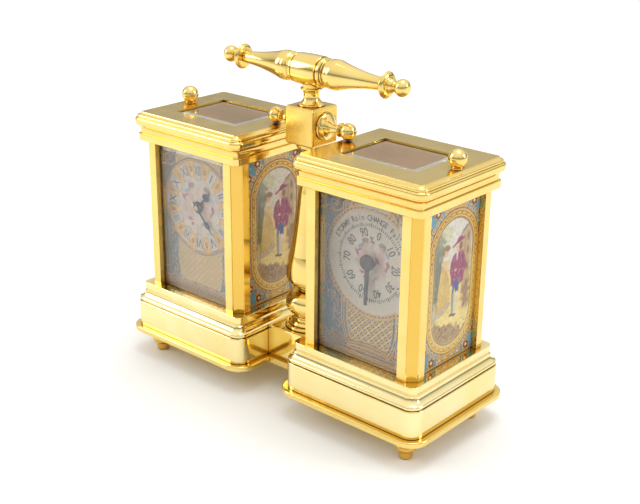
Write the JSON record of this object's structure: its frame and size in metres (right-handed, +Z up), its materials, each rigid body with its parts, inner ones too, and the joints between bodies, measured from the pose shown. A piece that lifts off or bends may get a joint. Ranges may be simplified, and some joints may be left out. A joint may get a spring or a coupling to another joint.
{
  "type": "twin carriage clock and hygrometer",
  "caption": "Miniature twin carriage clock set: brass timepiece and hygrometer cases on one base, with porcelain panels, turned column and T handle.",
  "frame": {"origin": "bottom centre of the whole set, on the table under the feet, midway between the two cases", "axes": "+Z up, front of both dials towards -Y, clock on the -X side and hygrometer on the +X side"},
  "size_m": [0.0976, 0.0382, 0.0857],
  "materials": {
    "case_brass": "mirror polished and lacquered",
    "movement_brass": "fine brushed",
    "glass": "polished, bevelled",
    "porcelain": "glazed, hand painted and gilded",
    "blued_steel": "blued",
    "dark_pointer": "satin black",
    "steel": "polished",
    "coil_strip": "matt"
  },
  "bodies": {
    "frame": {"base_plate": "case_brass", "bridge_block": "case_brass", "case_screws": "steel", "centre_block": "case_brass", "clock_corner_pillars": "case_brass", "clock_cornice": "case_brass", "clock_dial": "porcelain", "clock_front_glass": "glass", "clock_left_panel": "porcelain", "clock_lid": "case_brass", "clock_lid_glass": "glass", "clock_plinth": "case_brass", "clock_right_panel": "porcelain", "column_baluster": "case_brass", "column_bun": "case_brass", "column_foot": "case_brass", "escapement_platform": "movement_brass", "feet": "case_brass", "handle_barrel": "case_brass", "handle_left_arm": "case_brass", "handle_neck": "case_brass", "handle_right_arm": "case_brass", "hinge_pins": "steel", "hygrometer_bracket": "movement_brass", "hygrometer_corner_pillars": "case_brass", "hygrometer_cornice": "case_brass", "hygrometer_dial": "porcelain", "hygrometer_front_glass": "glass", "hygrometer_left_panel": "porcelain", "hygrometer_lid": "case_brass", "hygrometer_lid_glass": "glass", "hygrometer_plinth": "case_brass", "hygrometer_right_panel": "porcelain", "lid_knobs": "case_brass", "moisture_coil": "coil_strip", "movement_back_plate": "movement_brass", "movement_front_plate": "movement_brass", "movement_pillars": "movement_brass", "side_finials": "case_brass", "tie_rod_and_nut": "steel"},
    "going_barrel": {"going_barrel": "movement_brass"},
    "winding_arbor": {"winding_arbor": "steel"},
    "centre_train": {"centre_wheel": "movement_brass", "cannon_pinion": "movement_brass", "minute_hand": "blued_steel"},
    "third_wheel": {"third_wheel": "movement_brass"},
    "contrate_wheel": {"contrate_wheel": "movement_brass"},
    "escape_wheel": {"escape_wheel": "steel"},
    "balance_wheel": {"balance_wheel": "movement_brass"},
    "minute_wheel": {"minute_wheel": "movement_brass"},
    "hour_train": {"hour_wheel": "movement_brass", "hour_hand": "blued_steel"},
    "clock_door": {"clock_back_door": "case_brass", "clock_door_glass": "glass", "clock_door_knob": "case_brass"},
    "hygrometer_door": {"hygrometer_back_door": "case_brass", "hygrometer_door_glass": "glass", "hygrometer_door_knob": "case_brass"},
    "humidity_pointer": {"humidity_pointer": "dark_pointer", "pointer_spindle": "steel"}
  },
  "joints": [
    {"name": "minute_hand_turn", "type": "hinge", "parent": "frame", "child": "centre_train", "pos_m": [-0.02733, -0.0109, 0.04415], "axis": [0, 1, 0], "continuous": true},
    {"name": "hour_hand_turn", "type": "hinge", "parent": "frame", "child": "hour_train", "pos_m": [-0.02733, -0.0109, 0.04415], "axis": [0, 1, 0], "continuous": true},
    {"name": "minute_wheel_turn", "type": "hinge", "parent": "frame", "child": "minute_wheel", "pos_m": [-0.03061, 0, 0.04186], "axis": [0, 1, 0], "continuous": true},
    {"name": "going_barrel_turn", "type": "hinge", "parent": "frame", "child": "going_barrel", "pos_m": [-0.02733, 0, 0.03575], "axis": [0, 1, 0], "continuous": true},
    {"name": "third_wheel_turn", "type": "hinge", "parent": "frame", "child": "third_wheel", "pos_m": [-0.02127, 0, 0.04765], "axis": [0, 1, 0], "continuous": true},
    {"name": "contrate_wheel_turn", "type": "hinge", "parent": "frame", "child": "contrate_wheel", "pos_m": [-0.02647, 0, 0.05233], "axis": [0, 1, 0], "continuous": true},
    {"name": "escape_wheel_turn", "type": "hinge", "parent": "frame", "child": "escape_wheel", "pos_m": [-0.02647, 0.00115, 0.05695], "axis": [0, 0, 1], "continuous": true},
    {"name": "balance_swing", "type": "hinge", "parent": "frame", "child": "balance_wheel", "pos_m": [-0.01917, 0.0004, 0.05695], "axis": [0, 0, 1], "range_deg": [-135, 135]},
    {"name": "winding_arbor_turn", "type": "hinge", "parent": "frame", "child": "winding_arbor", "pos_m": [-0.02733, 0, 0.03575], "axis": [0, 1, 0], "continuous": true},
    {"name": "humidity_pointer_turn", "type": "hinge", "parent": "frame", "child": "humidity_pointer", "pos_m": [0.02733, -0.0088, 0.04365], "axis": [0, 1, 0], "range_deg": [-164, 160]},
    {"name": "clock_door_hinge", "type": "hinge", "parent": "frame", "child": "clock_door", "pos_m": [-0.03873, 0.0136, 0.03968], "axis": [0, 0, 1], "range_deg": [0, 95]},
    {"name": "hygrometer_door_hinge", "type": "hinge", "parent": "frame", "child": "hygrometer_door", "pos_m": [0.03873, 0.0136, 0.03968], "axis": [0, 0, -1], "range_deg": [0, 95]}
  ],
  "couplings": [
    {"joint": "going_barrel_turn", "follows": "minute_hand_turn", "ratio": -0.16667},
    {"joint": "hour_hand_turn", "follows": "minute_hand_turn", "ratio": 0.083333},
    {"joint": "minute_wheel_turn", "follows": "minute_hand_turn", "ratio": -0.33333},
    {"joint": "third_wheel_turn", "follows": "minute_hand_turn", "ratio": -6},
    {"joint": "contrate_wheel_turn", "follows": "minute_hand_turn", "ratio": 36},
    {"joint": "escape_wheel_turn", "follows": "minute_hand_turn", "ratio": 180}
  ]
}
